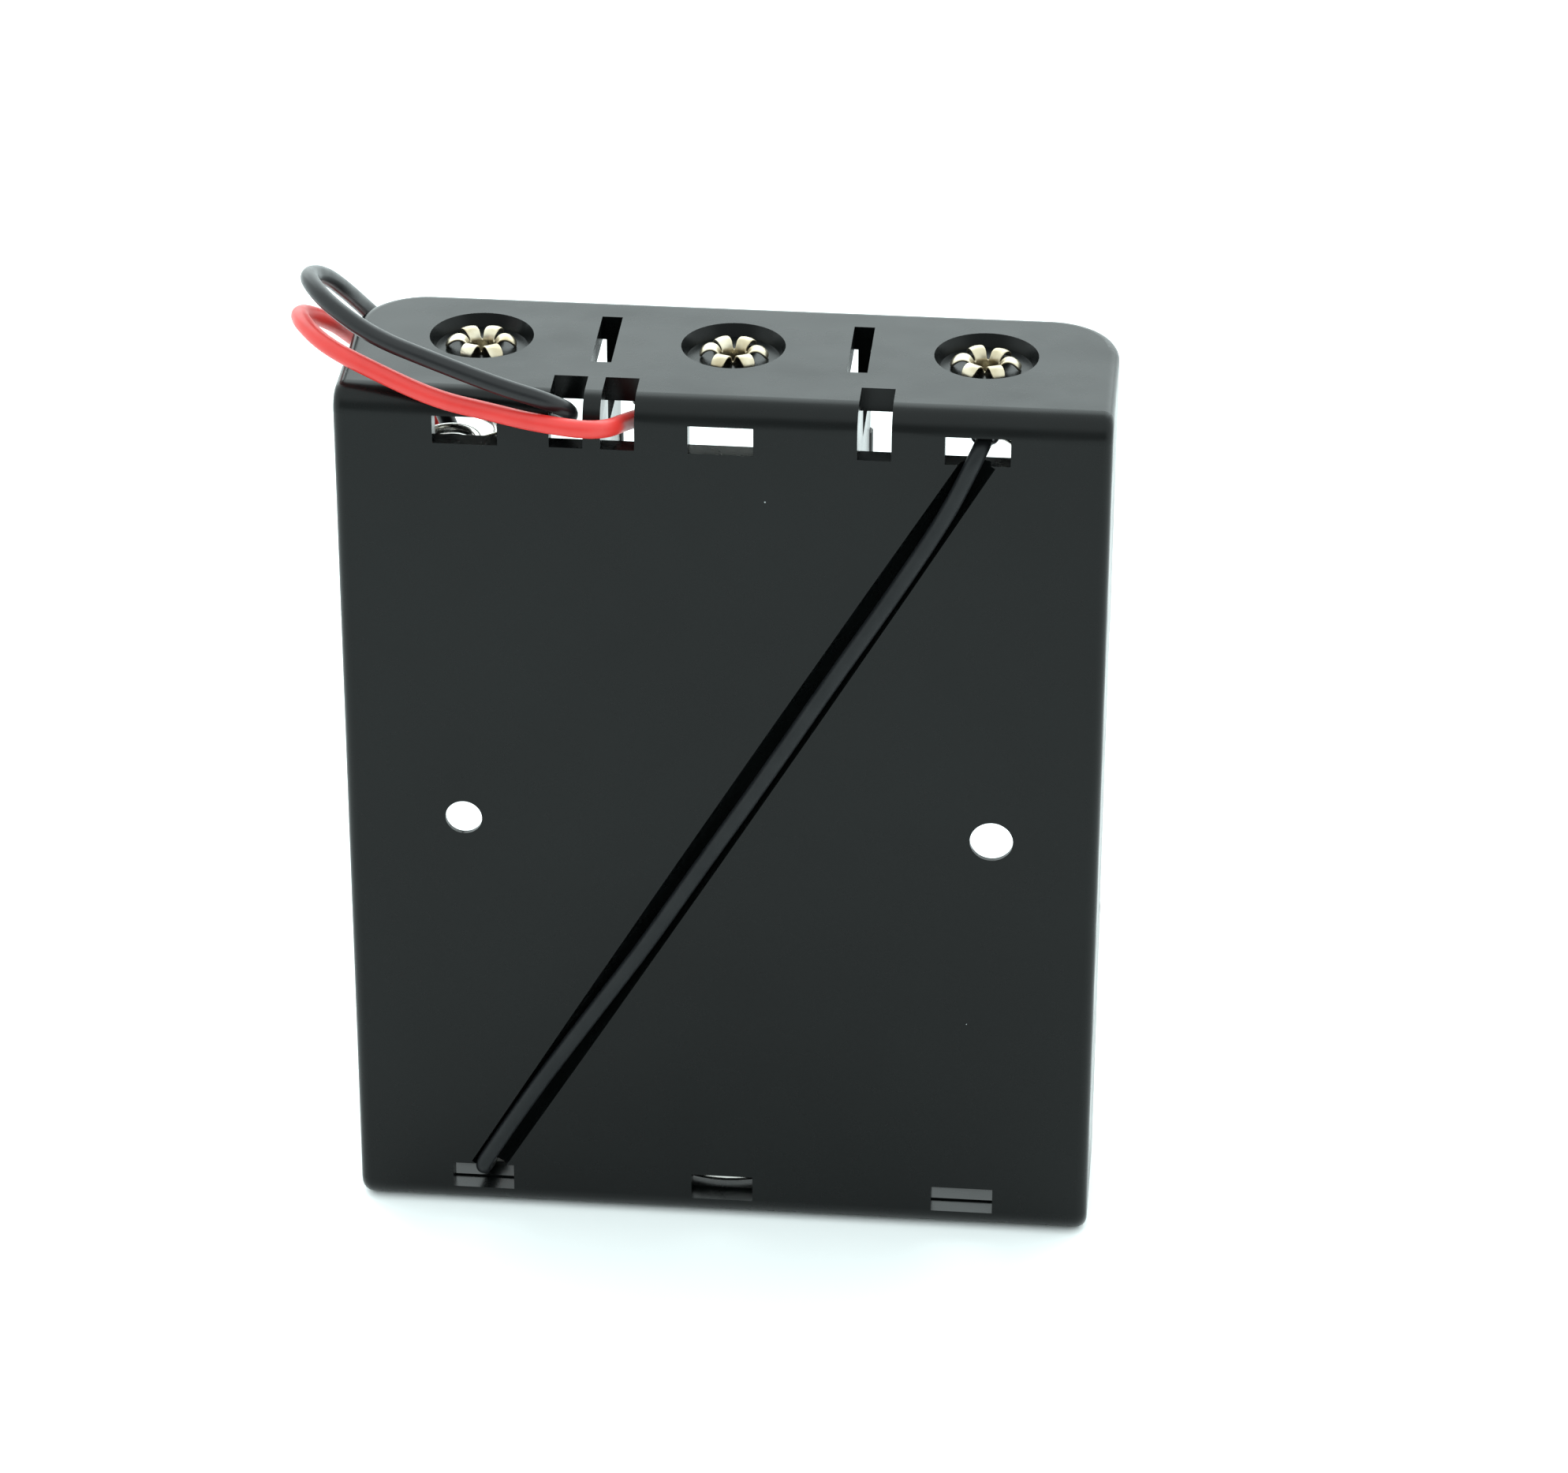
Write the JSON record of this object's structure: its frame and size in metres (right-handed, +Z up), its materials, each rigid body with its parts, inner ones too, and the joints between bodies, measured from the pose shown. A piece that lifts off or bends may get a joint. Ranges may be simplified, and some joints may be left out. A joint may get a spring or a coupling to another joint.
{
  "type": "cylindrical cell holder",
  "caption": "Open moulded tray that holds cylindrical cells side by side, with riveted springs and flat contacts, a link wire across the back and two flexible leads.",
  "frame": {"origin": "centre of the lower end of the case", "axes": "+Z up along the cells, +Y out of the open front that the cells go in through, +X to the right when the back is looked at"},
  "size_m": [0.064, 0.0426, 0.08],
  "materials": {
    "case": "semi-gloss moulded black",
    "eyelets": "nickel-plated brass, dull",
    "springs": "nickel-plated steel wire",
    "contacts": "nickel-plated steel sheet",
    "link_insulation": "black insulation",
    "red_insulation": "soft red insulation",
    "black_insulation": "soft black insulation",
    "solder": "bright solder and tinned copper"
  },
  "bodies": {
    "holder": {"tray": "case", "link_wire": "link_insulation", "red_lead": "red_insulation", "black_lead": "black_insulation", "red_lead_tip": "solder", "black_lead_tip": "solder", "solder_red": "solder", "solder_black": "solder", "solder_link_top": "solder", "solder_link_bottom": "solder", "contact_plate_middle_top": "contacts", "contact_plate_left_bottom": "contacts", "bridge_plate": "contacts", "eyelet_left_top": "eyelets", "eyelet_left_bottom": "eyelets", "eyelet_middle_top": "eyelets", "eyelet_middle_bottom": "eyelets", "eyelet_right_top": "eyelets", "eyelet_right_bottom": "eyelets", "spring_foot_left_top": "springs", "spring_coil_left_top": "springs", "spring_foot_right_top": "springs", "spring_coil_right_top": "springs", "spring_foot_middle_bottom": "springs", "spring_coil_middle_bottom": "springs"},
    "left_top_tip": {"spring_tip_left_top": "springs"},
    "right_top_tip": {"spring_tip_right_top": "springs"},
    "middle_bottom_tip": {"spring_tip_middle_bottom": "springs"}
  },
  "joints": [
    {"name": "left_top_spring_press", "type": "slide", "parent": "holder", "child": "left_top_tip", "axis": [0, 0, 1], "range_m": [0, 0.005], "stiffness_N_per_m": 900, "deforming": ["spring_coil_left_top"]},
    {"name": "right_top_spring_press", "type": "slide", "parent": "holder", "child": "right_top_tip", "axis": [0, 0, 1], "range_m": [0, 0.0065], "stiffness_N_per_m": 900, "deforming": ["spring_coil_right_top"]},
    {"name": "middle_bottom_spring_press", "type": "slide", "parent": "holder", "child": "middle_bottom_tip", "axis": [0, 0, -1], "range_m": [0, 0.0065], "stiffness_N_per_m": 900, "deforming": ["spring_coil_middle_bottom"]}
  ]
}
